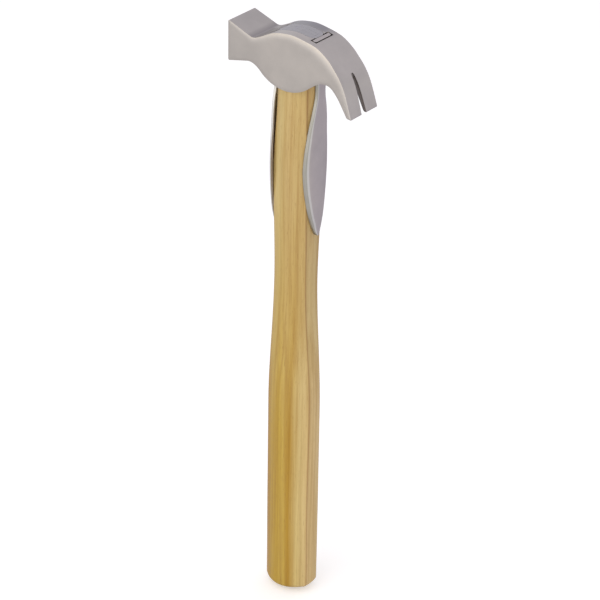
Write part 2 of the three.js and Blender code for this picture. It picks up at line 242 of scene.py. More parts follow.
def nail_slot(name):
    """The V between the claws, with a round root, drawn square to its cut. It opens out below."""
    half_root, half_tip, length, past_tip = 1.05, 2.15, 19.0, 6.0
    below, above, opening = -12.0, 26.0, 0.62
    lean = math.radians(36.5)
    # The opening out starts just under the claw's outer surface, which rises from the tip in a bow.
    rise, bow, under_surface = 0.879, 0.0133, 0.3
    flare = (half_tip - half_root) / length
    shape = [(-half_tip - flare * past_tip, -past_tip), (half_tip + flare * past_tip, -past_tip)]
    root_middle = length - half_root
    for k in range(13):
        angle = math.pi * k / 12
        shape.append((half_root * math.cos(angle), root_middle + half_root * math.sin(angle)))
    tip_x, tip_drop = crown_line[0]
    body = bmesh.new()
    rings = [[], [], []]
    for u, w in shape:
        surface = w * (rise - bow * w) - under_surface
        for ring, t in zip(rings, (below, surface, above)):
            opened = opening * max(0.0, surface - t) * min(abs(u), half_root) / half_root
            ring.append(body.verts.new((
                (tip_x - w * math.cos(lean) + t * math.sin(lean)) * mm,
                (u + math.copysign(opened, u)) * mm,
                (crown + tip_drop + w * math.sin(lean) + t * math.cos(lean)) * mm,
            )))
    body.faces.new(rings[0][::-1])
    body.faces.new(rings[-1])
    skinned(body, rings)
    bmesh.ops.recalc_face_normals(body, faces=body.faces)
    return placed(name, body)


def fixed(piece):
    """Turns what the modifiers do into the piece's own mesh."""
    bpy.context.view_layer.update()
    made = piece.evaluated_get(bpy.context.evaluated_depsgraph_get())
    mesh = bpy.data.meshes.new_from_object(made)
    piece.modifiers.clear()
    piece.data = mesh
    return piece


def cut(piece, cutter, how="DIFFERENCE"):
    """Cuts or joins one solid with another, which is used up."""
    modifier = piece.modifiers.new("cut", "BOOLEAN")
    modifier.operation = how
    modifier.solver = "EXACT"
    modifier.object = cutter
    for material in piece.data.materials:
        cutter.data.materials.append(material)
    fixed(piece)
    bpy.data.objects.remove(cutter)
    return piece


def rounded(piece, width, segments, angle):
    """Takes the keenness off every edge sharper than the angle."""
    modifier = piece.modifiers.new("rounded", "BEVEL")
    modifier.width = width * mm
    modifier.segments = segments
    modifier.limit_method = "ANGLE"
    modifier.angle_limit = math.radians(angle)
    return fixed(piece)


def smoothed(piece, angle):
    """Shades a piece smooth, with its flats kept flat."""
    piece.data.shade_smooth()
    piece.data.set_sharp_from_angle(angle=math.radians(angle))
    modifier = piece.modifiers.new("normals", "WEIGHTED_NORMAL")
    modifier.keep_sharp = True
    return fixed(piece)


# What runs up through the head: the straps' narrow ends and the handle's tang. The grip end stands
# on the frame's axis, and the head end leans a little towards the claw.
head_lean, head_lean_length = 1.05, 150.0
strap_length, strap_thickness = 114.5, 2.2
strap_leaf = [
    # drop below the crown, half width
    (-6, 7.1), (0, 7.1), (28.2, 3.75), (34.35, 3.85), (41.3, 5.35), (49.5, 6.9), (57.6, 8.1),
    (64.1, 9.04), (71.0, 9.65), (76.7, 9.8), (87.0, 8.87), (95.8, 7.36), (102.0, 5.98),
    (108.1, 4.09), (112.3, 2.2), (114.5, 0.69),
]
# The straps' outer faces lie this far apart at the crown and at the leaves' points.
strap_spread, strap_close = 28.8, 28.2
strap_bevel, strap_bevel_below, strap_bevel_depth = 1.2, 2.2, 0.55
strap_widening_from, strap_widening_to = 45, 75
mid_bevel_share = 0.35
face_steps = 14
plain_bevel, plain_bevel_depth = 0.1, 0.05
dish_radius, dish_from, dish_to = 22.0, 31.6, 57.25
tang_width, tang_corner, tang_gap = 10.6, 3.6, 0.3
above_crown = 6.0


def lean_at(drop):
    """How far towards the claw the head end leans."""
    return head_lean * max(0.0, 1 - drop / head_lean_length)


def strap_outer(drop):
    """How far a strap's face lies from the handle's axis."""
    return (strap_spread + (strap_close - strap_spread) * drop / strap_length) / 2


def strap_sag(drop, y):
    """How far a strap's leaf bends back round the handle."""
    t = share_between(drop, dish_from, dish_to)
    return t * t * (3 - 2 * t) * y * y / (2 * dish_radius)


def strap_ring(drop, grow=0.0, plain=False, seam=0.5):
    """A strap's section with its bevels, anticlockwise from above. A plain one has none."""
    half = read_off(strap_leaf, drop) + grow
    outer, inner = strap_outer(drop) + grow, strap_outer(drop) - strap_thickness - grow
    widening = share_between(drop, strap_widening_from, strap_widening_to)
    bevel = min(strap_bevel + (strap_bevel_below - strap_bevel) * widening, half / 2)
    depth = strap_bevel_depth * min(bevel / strap_bevel, 1)
    if plain:
        bevel, depth = plain_bevel, plain_bevel_depth
    edge = outer - depth
    ring = []
    for i in range(face_steps + 1):
        y = (half - bevel) * (2 * i / face_steps - 1)
        ring.append(Vector((outer - strap_sag(drop, y), y)))
    middle = (outer - mid_bevel_share * depth, half - bevel / 2)
    rim = [middle, (edge, half), (inner + seam, half)]
    ring += [Vector((x - strap_sag(drop, y), y)) for x, y in rim]
    for i in range(face_steps + 1):
        y = half * (1 - 2 * i / face_steps)
        ring.append(Vector((inner - strap_sag(drop, y), y)))
    ring += [Vector((x - strap_sag(drop, y), -y)) for x, y in rim[::-1]]
    return ring


def tang_ring(drop, room):
    """The tang's section, a rectangle with round corners that fills the eye between the straps."""
    half_depth = strap_outer(drop) - strap_thickness - tang_gap + room
    half_wide, corner = tang_width / 2 + room, tang_corner + room
    ring = []
    for quarter, (sx, sy) in enumerate(((1, 1), (-1, 1), (-1, -1), (1, -1))):
        for n in range(9):
            angle = (quarter + n / 8) * math.pi / 2
            ring.append(Vector((
                sx * (half_depth - corner) + corner * math.cos(angle),
                sy * (half_wide - corner) + corner * math.sin(angle),
            )))
    return ring


def loft(name, drops, ring_at, turned=False, bands=None):
    """A closed skin over rings, lowest first."""
    body = bmesh.new()
    turn = -1 if turned else 1
    rings = []
    for drop in drops:
        lean, z = lean_at(drop), (crown - drop) * mm
        rings.append([
            body.verts.new(((turn * p.x + lean) * mm, turn * p.y * mm, z)) for p in ring_at(drop)
        ])
    skinned(body, rings, bands)
    body.faces.new(rings[0][::-1])
    body.faces.new(rings[-1])
    bmesh.ops.remove_doubles(body, verts=body.verts, dist=1e-7)
    return placed(name, body)


def leaf_drops(steps):
    """Places along a strap, from its point up, closest together at the point."""
    reach = strap_length + above_crown
    return [-above_crown + reach * math.cos(i / steps * math.pi / 2) for i in range(steps + 1)]


def strap_room(name, turned, grow, steps=60):
    """The room that a strap needs in what it passes through."""
    return loft(name, leaf_drops(steps), lambda drop: strap_ring(drop, grow, True), turned)


def tang_room(name, foot, room):
    """The tang itself, or the room that it needs in the head."""
    return loft(name, [foot, -above_crown], lambda drop: tang_ring(drop, room))


head = cut(head_body("head"), nail_slot("nail_slot"))
for turned in (False, True):
    cut(head, strap_room("slot", turned, slot_room, steps=40))
cut(head, tang_room("eye", eye_foot, eye_room))
rounded(head, edge_radius, segments=2, angle=43)
smoothed(head, angle=40)


def shader(name, color, roughness, metallic):
    """A material with its own colour, and the place on the piece that its patterns follow."""
    material = bpy.data.materials.new(name)
    material.use_nodes = True
    nodes = material.node_tree.nodes
    surface = nodes["Principled BSDF"]
    surface.inputs["Base Color"].default_value = (*color, 1)
    surface.inputs["Roughness"].default_value = roughness
    surface.inputs["Metallic"].default_value = metallic
    return material, nodes.new("ShaderNodeTexCoord")


def joined(tree, kind, links=(), **values):
    """A new node with its settings, values and links in place."""
    node = tree.nodes.new(kind)
    for name, value in values.items():
        setattr(node, name, value)
    for socket, source in links:
        if isinstance(source, (int, float, tuple)):
            node.inputs[socket].default_value = source
        else:
            tree.links.new(source, node.inputs[socket])
    return node


def reckoned(tree, operation, *values):
    """The result of one sum."""
    return joined(tree, "ShaderNodeMath", enumerate(values), operation=operation).outputs[0]


def multiplied(tree, one, other):
    """The product of two values."""
    return reckoned(tree, "MULTIPLY", one, other)


def size_of(tree, value):
    """A value without its sign."""
    return reckoned(tree, "ABSOLUTE", value)


def parts_of(tree, vector):
    """A vector's X, Y and Z."""
    return joined(tree, "ShaderNodeSeparateXYZ", [("Vector", vector)]).outputs


def stretched(tree, place, scale):
    """A place for a pattern that runs long where the scale is small."""
    values = [("Vector", place), ("Scale", scale)]
    return joined(tree, "ShaderNodeMapping", values).outputs["Vector"]


def speckle(tree, vector, scale, detail, roughness=0.5, distortion=0.0):
    """Cloudy noise, from 0 to 1."""
    values = [("Vector", vector), ("Scale", scale), ("Detail", detail), ("Roughness", roughness)]
    values.append(("Distortion", distortion))
    return joined(tree, "ShaderNodeTexNoise", values).outputs["Fac"]


def graded(tree, factor, stops):
    """Colours along a ramp."""
    ramp = joined(tree, "ShaderNodeValToRGB", [("Fac", factor)])
    while len(ramp.color_ramp.elements) < len(stops):
        ramp.color_ramp.elements.new(0.5)
    for element, (place, color) in zip(ramp.color_ramp.elements, stops):
        element.position = place
        element.color = (*color, 1)
    return ramp.outputs["Color"]


def spread(tree, factor, start, end, low, high):
    """A value that goes from low to high while the factor goes from start to end."""
    values = [("Value", factor), ("From Min", start), ("From Max", end)]
    values += [("To Min", low), ("To Max", high)]
    return joined(tree, "ShaderNodeMapRange", values).outputs["Result"]


def blended(tree, share, under, over, how="MIX"):
    """One colour over another."""
    values = [("Factor", share), ("A", under), ("B", over)]
    mix = joined(tree, "ShaderNodeMix", values, data_type="RGBA", blend_type=how)
    return mix.outputs["Result"]


def bumped(tree, surface, height, distance, strength):
    """Gives a surface marks of a real depth."""
    values = [("Height", height), ("Distance", distance), ("Strength", strength)]
    bump = joined(tree, "ShaderNodeBump", values)
    tree.links.new(bump.outputs["Normal"], surface.inputs["Normal"])


def satin_steel(name, dark, light, rough, brushing):
    """Ground steel, with belt marks stretched along their own direction.

    The material's place and tone are given back too, for what is laid over them.
    """
    material, place = shader(name, light, rough, 1.0)
    tree, surface = material.node_tree, material.node_tree.nodes["Principled BSDF"]
    drift = speckle(tree, place.outputs["Object"], 70, 3, 0.55)
    tone = graded(tree, drift, [(0.35, dark), (0.65, light)])
    marks = speckle(tree, stretched(tree, place.outputs["Object"], brushing), 900, 4, 0.6)
    roughness = spread(tree, marks, 0.3, 0.7, rough - 0.04, rough + 0.05)
    tree.links.new(tone, surface.inputs["Base Color"])
    tree.links.new(roughness, surface.inputs["Roughness"])
    bumped(tree, surface, marks, 0.00002, 0.35)
    return material, place, tone


forged_steel, head_place, head_tone = satin_steel(
    "forged_steel", (0.435, 0.408, 0.38), (0.48, 0.449, 0.416), 0.32, (0.12, 1, 1)
)
head_tree = forged_steel.node_tree
head_spot = parts_of(head_tree, head_place.outputs["Object"])
head_way = parts_of(head_tree, head_place.outputs["Normal"])
# Painted shade: the claws' inner walls and the bottom of the dip behind the poll are darkened where
# shade falls, and the poll and the crown beyond the tang are painted a little darker for their
# shade.
# Painted shade on the claws' inner walls, inside the nail slot.
slot_shade = multiplied(
    head_tree,
    spread(head_tree, size_of(head_tree, head_way["Y"]), 0.4, 0.7, 0, 1),
    spread(head_tree, size_of(head_tree, head_spot["Y"]), 0.0045, 0.0055, 1, 0),
)
faces_up = spread(head_tree, head_way["Z"], 0.6, 0.9, 0, 1)
# Painted shade along the bottom of the dip behind the poll, on faces that look up.
from_dip = size_of(head_tree, reckoned(head_tree, "SUBTRACT", head_spot["X"], -0.0222))
dip_shade = multiplied(head_tree, spread(head_tree, from_dip, 0.0, 0.0034, 0.75, 0), faces_up)
# Painted shade, darker towards the poll.
poll_shade = spread(head_tree, head_spot["X"], -0.034, -0.008, 0.22, 0)
# Painted shade on the crown's far strip beyond the tang, which rolls away towards the darker back.
far_crown_shade = multiplied(
    head_tree,
    spread(head_tree, size_of(head_tree, head_spot["X"]), 0.010, 0.018, 0.75, 0),
    multiplied(head_tree, spread(head_tree, head_spot["Y"], 0.0050, 0.0062, 0, 1), faces_up),
)
dip_shaded = blended(head_tree, dip_shade, head_tone, (0.22, 0.20, 0.20, 1))
poll_and_crown_shaded = blended(head_tree, poll_shade, dip_shaded, (0.30, 0.29, 0.285, 1))
poll_and_crown_shaded = blended(head_tree, far_crown_shade, poll_and_crown_shaded, (0.22, 0.22, 0.24, 1))
slot_shaded = blended(head_tree, slot_shade, poll_and_crown_shaded, (0.15, 0.13, 0.12, 1))
head_tree.links.new(slot_shaded, head_tree.nodes["Principled BSDF"].inputs["Base Color"])


def finish(piece, node, material=None):
    """Gives a piece its finish, where it has none yet, and its place in the frame."""
    if material:
        piece.data.materials.append(material)
    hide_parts(node)
    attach(piece, "root")


finish(head, "head", forged_steel)

# The straps. Two leaves of mild steel, hollowed to lie on the handle, their faces left as rolled
# and their edges ground to a bevel. The bevel colour is brighter partly for the grinding and partly
# as a painted highlight, the darker edge colour is painted shade, and a painted shadow runs along
# the seam with the wood. Each is punched for two rivets, and its narrow end runs up through the eye
# and is ground off flush with the crown.
rivet_drops = {"rivet_upper": 62.0, "rivet_lower": 95.0}
rivet_shank, rivet_head, rivet_head_depth = 2.0, 3.2, 1.9
strap_steps, corner_softness = 110, 0.22
seam_from, seam_to = 30, 70
strap_hole_room, strap_hole_over = 0.02, 0.4
slab_half = 16


def softened(ring, radius):
    """A ring of points with each corner turned into three."""
    points = []
    for i, p in enumerate(ring):
        back, on = ring[i - 1] - p, ring[(i + 1) % len(ring)] - p
        r = min(radius, back.length * 0.3, on.length * 0.3)
        a, b = p + back.normalized() * r, p + on.normalized() * r
        points += [a, (a + b) / 4 + p / 2, b]
    return points


def sky(name):
    """Everything above the crown line, which trims what stands out of the eye."""
    line = curve_through(crown_line, crown_steps) + [Vector(crown_line[-1])]
    line += [Vector((crown_line[-1][0], 20)), Vector((crown_line[0][0], 20))]
    return slab(name, line, 0.0)


def slab(name, outline, sink):
    """A plain block wider than the head, with an outline that is measured from the crown."""
    body = bmesh.new()
    near, far = [
        [body.verts.new((p.x * mm, y * mm, (crown + p.y - sink) * mm)) for p in outline]
        for y in (-slab_half, slab_half)
    ]
    body.faces.new(near)
    body.faces.new(far[::-1])
    for i in range(len(near)):
        k = (i + 1) % len(near)
        body.faces.new((near[k], near[i], far[i], far[k]))
    bmesh.ops.recalc_face_normals(body, faces=body.faces)
    return placed(name, body)


along_strap = (1, 1, 0.1)
strap_steel = satin_steel(
    "strap_steel", (0.445, 0.412, 0.39), (0.49, 0.452, 0.425), 0.34, along_strap
)[0]
# Partly the ground bevel's brighter finish, partly a painted highlight.
ground_and_highlit_steel = satin_steel(
    "strap_ground_and_highlit_steel", (0.54, 0.53, 0.50), (0.59, 0.58, 0.55), 0.30, along_strap
)[0]
# Painted shade on the strap's bevels and walls.
shaded_edge_steel = satin_steel(
    "strap_shaded_edge_steel", (0.345, 0.34, 0.30), (0.395, 0.385, 0.345), 0.42, along_strap
)[0]
# Painted shadow: a dark brown band on the strap's wall next to the wood, where the gap between them
# lies in shade.
seam_shadow, seam_place = shader("seam_shadow", (0.15, 0.10, 0.04), 0.5, 0.0)
seam_tree = seam_shadow.node_tree
seam_specks = speckle(seam_tree, seam_place.outputs["Object"], 600, 3)
seam_tree.links.new(
    graded(seam_tree, seam_specks, [(0.35, (0.10, 0.065, 0.03)), (0.65, (0.20, 0.14, 0.06))]),
    seam_tree.nodes["Principled BSDF"].inputs["Base Color"],
)
# Round a strap's section: the face's corner, half the bevel, its foot, the wall and the seam below.
# Softening has made three points of each.
corners = len(strap_ring(0.0))
strap_bands = {
    3 * corner + k: kind + 1
    for kind in range(4)
    for corner in (face_steps + kind, corners - 1 - kind)
    for k in range(3)
}


def rivet_body(name, drop, room=0.0, over=0.0):
    """A rivet through both straps, with its spread ends flush. Holes go over the faces a little."""
    around, end_rings = 40, 4
    flare = (rivet_head - rivet_shank) / rivet_head_depth
    rim = rivet_head + room + over * flare
    end = [(rim * k / end_rings, over) for k in range(1, end_rings + 1)]
    end.append((rivet_shank + room, -rivet_head_depth))
    body = bmesh.new()

    def point(side, radius, above, angle):
        y, level = radius * math.cos(angle), drop - radius * math.sin(angle)
        x = side * (strap_outer(level) - strap_sag(level, y) + above) + lean_at(level)
        return body.verts.new((x * mm, y * mm, (crown - level) * mm))

    turns = [2 * math.pi * n / around for n in range(around)]
    rings = [[point(1, radius, above, angle) for angle in turns] for radius, above in end]
    rings += [[point(-1, radius, above, angle) for angle in turns] for radius, above in end[::-1]]
    skinned(body, rings)
    for side, ring in ((1, rings[0]), (-1, rings[-1])):
        middle = point(side, 0.0, over, 0.0)
        for n in range(around):
            body.faces.new((middle, ring[n], ring[(n + 1) % around]))
    bmesh.ops.recalc_face_normals(body, faces=body.faces)
    return placed(name, body)


def dressed_strap(name, turned, seam_above, seam_below, band_materials):
    """One strap with its point, bevels, rivet holes and each band's material, painted light among
    them.
    """
    def section(drop):
        seam = seam_above + (seam_below - seam_above) * share_between(drop, seam_from, seam_to)
        return softened(strap_ring(drop, seam=seam), corner_softness)

    strap = loft(name, leaf_drops(strap_steps), section, turned, strap_bands)
    for material in band_materials:
        strap.data.materials.append(material)
    cut(strap, sky("sky"))
    for drop in rivet_drops.values():
        cut(strap, rivet_body("hole", drop, strap_hole_room, strap_hole_over))
    smoothed(strap, angle=12)
    finish(strap, name)


# The same wall takes the painted shade colour on the claw-side strap and the painted highlight
# colour on the poll-side strap.
dressed_strap("strap_claw_side", False, 0.8, 0.4, (
    strap_steel, ground_and_highlit_steel, shaded_edge_steel, shaded_edge_steel, seam_shadow,
))
dressed_strap("strap_poll_side", True, 0.15, 0.7, (
    strap_steel, shaded_edge_steel, ground_and_highlit_steel, ground_and_highlit_steel, seam_shadow,
))

# The handle. One length of straight-grained ash, turned oval and planed to a narrow facet down the
# back and the front, with a round-shouldered butt, under a thin satin varnish. Its tang goes up
# through the eye, is spread there by wedges and ground off flush with the crown.
handle_stations = [
    # height, depth, width, facet depth, facet width
    (0, 29.3, 23.75, 28.2, 9.6),
    (62, 29.0, 23.3, 27.8, 10.6),
    (118, 29.6, 23.75, 28.4, 9.7),
    (200, 22.1, 17.8, 21.0, 10.9),
    (264, 24.8, 18.4, 21.4, 14.8),
    (314.3, 25.6, 15.6, 18.4, 12.4),
]
station_sizes = ("Height", "Depth", "Width", "Facet Depth", "Facet Width")
tang_foot, shoulder_sink, recess_room, handle_hole_room = 31.0, 0.12, 0.12, 0.03


def shape_tree(name, sizes):
    """An empty tree of geometry nodes with a named input for each size."""
    tree = bpy.data.node_groups.new(name, "GeometryNodeTree")
    tree.interface.new_socket("Geometry", in_out="OUTPUT", socket_type="NodeSocketGeometry")
    for label, value in sizes.items():
        socket = tree.interface.new_socket(label, in_out="INPUT", socket_type="NodeSocketFloat")
        socket.default_value = value
    return tree, tree.nodes.new("NodeGroupInput").outputs


def ended(tree, geometry, material):
    """Closes a tree: its instances made real and its material set."""
    real = joined(tree, "GeometryNodeRealizeInstances", [("Geometry", geometry)])
    painted = joined(tree, "GeometryNodeSetMaterial", [("Geometry", real.outputs[0])])
    painted.inputs["Material"].default_value = material
    joined(tree, "NodeGroupOutput", [(0, painted.outputs[0])])


def grown(name, tree, sizes):
    """The plain mesh that a tree makes with these sizes."""
    piece = placed(name, bmesh.new())
    modifier = piece.modifiers.new("shape", "NODES")
    modifier.node_group = tree
    for item in tree.interface.items_tree:
        if item.in_out == "INPUT" and item.name in sizes:
            modifier[item.identifier] = sizes[item.name]
    made_of = [material for material in fixed(piece).data.materials if material]
    piece.data.materials.clear()
    piece.data.materials.append(made_of[0])
    return piece


def handle_tree(material):
    """The handle's outside: a tube whose rings take their size from the stations."""
    sizes = {
        f"{label} {k}": value * mm
        for k, station in enumerate(handle_stations) for label, value in zip(station_sizes, station)
    }
    sizes |= {
        "Butt Height": 5.6 * mm, "Butt Slope": 0.10, "Butt Share": 0.72, "Butt Fullness": 2.5,
        "Lean": head_lean * mm, "Lean Length": head_lean_length * mm, "Crown": crown * mm,
        "Facet Angle": math.radians(24), "Unevenness": 0.006,
    }
    tree, size = shape_tree("handle_shape", sizes)
    butt_share = 0.05
    tube = joined(tree, "GeometryNodeMeshCylinder", [
        ("Vertices", 120), ("Side Segments", 240), ("Radius", 1.0), ("Depth", 1.0),
    ])
    x, y, z = parts_of(tree, tree.nodes.new("GeometryNodeInputPosition").outputs[0])

    def sums(operation, *values):
        return reckoned(tree, operation, *values)

    # Up the handle: the butt's rings crowd together, the rest are evenly spaced.
    up_butt = spread(tree, z, -0.5, butt_share - 0.5, 0, math.pi / 2)
    butt_curve = sums("SUBTRACT", 1.0, sums("COSINE", up_butt))
    butt_rise = sums("MULTIPLY", size["Butt Height"], butt_curve)
    shaft = sums("SUBTRACT", size[f"Height {len(handle_stations) - 1}"], size["Butt Height"])
    shaft_rise = sums("MULTIPLY", shaft, spread(tree, z, butt_share - 0.5, 0.5, 0, 1))
    height = sums("ADD", butt_rise, shaft_rise)

    # Between stations each size changes on a smooth step.
    halves = {}
    for label in station_sizes[1:]:
        value = size[f"{label} 0"]
        for k in range(1, len(handle_stations)):
            step = joined(tree, "ShaderNodeMapRange", [
                ("Value", height),
                ("From Min", size[f"Height {k - 1}"]), ("From Max", size[f"Height {k}"]),
            ], interpolation_type="SMOOTHSTEP")
            value = joined(tree, "ShaderNodeMix", [
                (0, step.outputs[0]), (2, value), (3, size[f"{label} {k}"]),
            ], data_type="FLOAT").outputs[0]
        halves[label] = sums("MULTIPLY", value, 0.5)

    # Round the handle: a crowned facet front and back, and a fuller curve on each side.
    def bowed(share):
        return sums("SUBTRACT", 1.0, sums("POWER", share, 2.0))

    def either(facet, side):
        chosen = joined(tree, "ShaderNodeMix", [(0, on_facet), (2, side), (3, facet)],
                        data_type="FLOAT")
        return chosen.outputs[0]

    facet_angle = size["Facet Angle"]
    angle = sums("ARCTAN2", sums("ABSOLUTE", y), sums("ABSOLUTE", x))
    on_facet = sums("LESS_THAN", angle, sums("ADD", facet_angle, 0.001))
    across = sums("DIVIDE", angle, facet_angle)
    facet_crown = sums("SUBTRACT", halves["Depth"], halves["Facet Depth"])
    facet_x = sums("ADD", halves["Facet Depth"], sums("MULTIPLY", facet_crown, bowed(across)))
    facet_y = sums("MULTIPLY", halves["Facet Width"], across)
    side_angle = sums("SUBTRACT", math.pi / 2, facet_angle)
    along = sums("DIVIDE", sums("SUBTRACT", math.pi / 2, angle), side_angle)
    side_crown = sums("SUBTRACT", halves["Width"], halves["Facet Width"])
    side_x = sums("MULTIPLY", halves["Facet Depth"], along)
    side_y = sums("ADD", halves["Facet Width"], sums("MULTIPLY", side_crown, bowed(along)))
    outline_x = sums("MULTIPLY", either(facet_x, side_x), sums("SIGN", x))
    outline_y = either(facet_y, side_y)

    # The butt's shoulder, which reaches higher on the claw's side, and the slight unevenness that a
    # spokeshave leaves.
    butt_top = sums("ADD", size["Butt Height"], sums("MULTIPLY", size["Butt Slope"], outline_x))
    low = sums("MAXIMUM", 0.0, sums("DIVIDE", sums("SUBTRACT", butt_top, height), butt_top))
    pull = sums("MULTIPLY", size["Butt Share"], sums("POWER", low, size["Butt Fullness"]))
    tooled = joined(tree, "ShaderNodeCombineXYZ", [
        ("X", sums("MULTIPLY", x, 0.012)),
        ("Y", sums("MULTIPLY", y, 0.012)),
        ("Z", sums("MULTIPLY", height, 0.35)),
    ])
    uneven = sums("MULTIPLY", size["Unevenness"], speckle(tree, tooled.outputs[0], 110, 2))
    shrunk = sums("SUBTRACT", sums("SUBTRACT", 1.0, pull), uneven)
    drop_share = sums("DIVIDE", sums("SUBTRACT", size["Crown"], height), size["Lean Length"])
    lean = sums("MULTIPLY", size["Lean"], sums("MAXIMUM", 0.0, sums("SUBTRACT", 1.0, drop_share)))
    final_x = sums("ADD", lean, sums("MULTIPLY", outline_x, shrunk))
    final_y = sums("MULTIPLY", sums("MULTIPLY", outline_y, shrunk), sums("SIGN", y))
    final = joined(tree, "ShaderNodeCombineXYZ", [("X", final_x), ("Y", final_y), ("Z", height)])

    # How near a point is to the arris beside a facet, where the wood is coloured darker.
    off_arris = sums("ABSOLUTE", sums("SUBTRACT", angle, facet_angle))
    by_arris = spread(tree, off_arris, math.radians(0.6), math.radians(3.0), 1, 0)
    marked = joined(tree, "GeometryNodeStoreNamedAttribute", [("Geometry", tube.outputs["Mesh"])],
                    data_type="FLOAT", domain="POINT")
    marked.inputs["Name"].default_value = "arris"
    tree.links.new(by_arris, marked.inputs["Value"])
    moved = joined(tree, "GeometryNodeSetPosition", [
        ("Geometry", marked.outputs[0]), ("Position", final.outputs[0]),
    ])
    ended(tree, moved.outputs[0], material)
    return tree, sizes


def wedge(name, half_long, foot, top, depth, across=False, shift=0.0, grow=0.0):
    """A wedge in the tang, narrow end down."""
    widening = (top - foot) / 2 * above_crown / depth
    halves = {depth + grow: foot / 2 + grow, -above_crown: top / 2 + grow + widening}

    def ring(drop):
        a, b = (halves[drop], half_long + grow) if across else (half_long + grow, halves[drop])
        return [Vector((shift + x, y)) for x, y in ((a, -b), (a, b), (-a, b), (-a, -b))]

    return loft(name, list(halves), ring)


def ash(name):
    """Pale gold wood: broad bands across the growth, fine streaks along it, and brown pores."""
    material, place = shader(name, (0.62, 0.46, 0.16), 0.45, 0.0)
    tree, surface = material.node_tree, material.node_tree.nodes["Principled BSDF"]
    at = place.outputs["Object"]
    spot = parts_of(tree, at)
    wander = speckle(tree, stretched(tree, at, (1, 1, 0.05)), 90, 2, 0.5, 0.3)
    drifting = reckoned(tree, "MULTIPLY_ADD", wander, 0.007, spot["X"])
    across = spread(tree, drifting, -0.0115, 0.0185, 0, 1)
    upper = graded(tree, across, [
        (0.00, (0.50, 0.32, 0.10)), (0.12, (0.55, 0.43, 0.185)), (0.30, (0.54, 0.415, 0.165)),
        (0.50, (0.545, 0.40, 0.16)), (0.66, (0.53, 0.385, 0.145)), (0.82, (0.50, 0.35, 0.125)),
        (0.90, (0.56, 0.41, 0.17)), (1.00, (0.58, 0.43, 0.19)),
    ])
    lower = graded(tree, across, [
        (0.00, (0.42, 0.23, 0.01)), (0.20, (0.47, 0.30, 0.015)), (0.42, (0.48, 0.31, 0.02)),
        (0.57, (0.52, 0.355, 0.055)), (0.69, (0.44, 0.255, 0.008)), (0.79, (0.60, 0.45, 0.16)),
        (0.88, (0.63, 0.485, 0.20)), (1.00, (0.66, 0.485, 0.21)),
    ])
    climbing = reckoned(tree, "MULTIPLY_ADD", wander, 0.1, spot["Z"])
    tone = blended(tree, spread(tree, climbing, 0.16, 0.30, 0, 1), lower, upper)
    streaks = speckle(tree, stretched(tree, at, (1, 1, 0.02)), 420, 3, 0.55, 0.2)
    fine = speckle(tree, stretched(tree, at, (1, 1, 0.015)), 1500, 3, 0.6)
    pores = speckle(tree, stretched(tree, at, (1, 1, 0.06)), 3200, 2, 0.6)
    for share, pattern, dark_to, dark, clear_from in (
        (0.8, streaks, 0.36, (0.80, 0.71, 0.55), 0.60),
        (0.5, fine, 0.34, (0.80, 0.72, 0.60), 0.56),
        (0.45, pores, 0.30, (0.55, 0.42, 0.28), 0.40),
    ):
        stain = graded(tree, pattern, [(dark_to, dark), (clear_from, (1, 1, 1))])
        tone = blended(tree, share, tone, stain, "MULTIPLY")
    arris = joined(tree, "ShaderNodeAttribute", attribute_name="arris")
    # The wood is coloured darker along the arris.
    arris_darkening = multiplied(tree, arris.outputs["Fac"], 0.85)
    arris_darkened = blended(tree, arris_darkening, tone, (0.56, 0.42, 0.27, 1), "MULTIPLY")
    # The tang's end is ground off with the crown, and grey with the dust of the wheel.
    ground = spread(tree, spot["Z"], 0.327, 0.331, 0, 1)
    end_grain = graded(tree, speckle(tree, at, 1500, 3, 0.6), [
        (0.3, (0.305, 0.295, 0.315)), (0.7, (0.37, 0.36, 0.375)),
    ])
    tree.links.new(blended(tree, ground, arris_darkened, end_grain), surface.inputs["Base Color"])
    tree.links.new(spread(tree, streaks, 0.3, 0.7, 0.52, 0.42), surface.inputs["Roughness"])
    surface.inputs["Coat Weight"].default_value = 0.15
    surface.inputs["Coat Roughness"].default_value = 0.25
    bumped(tree, surface, fine, 0.00005, 0.4)
    return material


def cross_wedge(name, depth, grow=0.0):
    """The steel wedge, or the cut that it stands in."""
    return wedge(
        name, half_long=3.7, foot=0.7, top=1.8, depth=depth, across=True, shift=-2.5, grow=grow
    )


handle_wood = ash("handle_wood")
handle_shape, handle_sizes = handle_tree(handle_wood)
handle = grown("handle", handle_shape, handle_sizes)
cut(handle, slab("shoulder", head_outline(), shoulder_sink))
cut(handle, tang_room("tang", tang_foot, 0.0), "UNION")
for turned in (False, True):
    cut(handle, strap_room("recess", turned, recess_room))
cut(handle, wedge("kerf", half_long=10.0, foot=1.0, top=3.0, depth=24, grow=0.06))
cut(handle, cross_wedge("kerf", depth=14, grow=0.04))
for drop in rivet_drops.values():
    cut(handle, rivet_body("hole", drop, handle_hole_room))
cut(handle, sky("sky"))
smoothed(handle, angle=24)
finish(handle, "handle")

# The wedges. A hardwood wedge spreads the tang lengthways, and a plain steel one crosses it. Both
# are driven in from the crown and ground off with it.
wood_wedge = wedge("wood_wedge", half_long=9.95, foot=1.0, top=2.95, depth=23.8)
cut(wood_wedge, cross_wedge("kerf", depth=14, grow=0.04))
smoothed(cut(wood_wedge, sky("sky")), angle=35)
finish(wood_wedge, "wood_wedge", handle_wood)
wedge_steel = satin_steel(
    "wedge_steel", (0.36, 0.35, 0.37), (0.42, 0.41, 0.43), 0.42, (1, 0.15, 1)
)[0]
steel_wedge = smoothed(cut(cross_wedge("steel_wedge", depth=13.9), sky("sky")), angle=35)
finish(steel_wedge, "steel_wedge", wedge_steel)

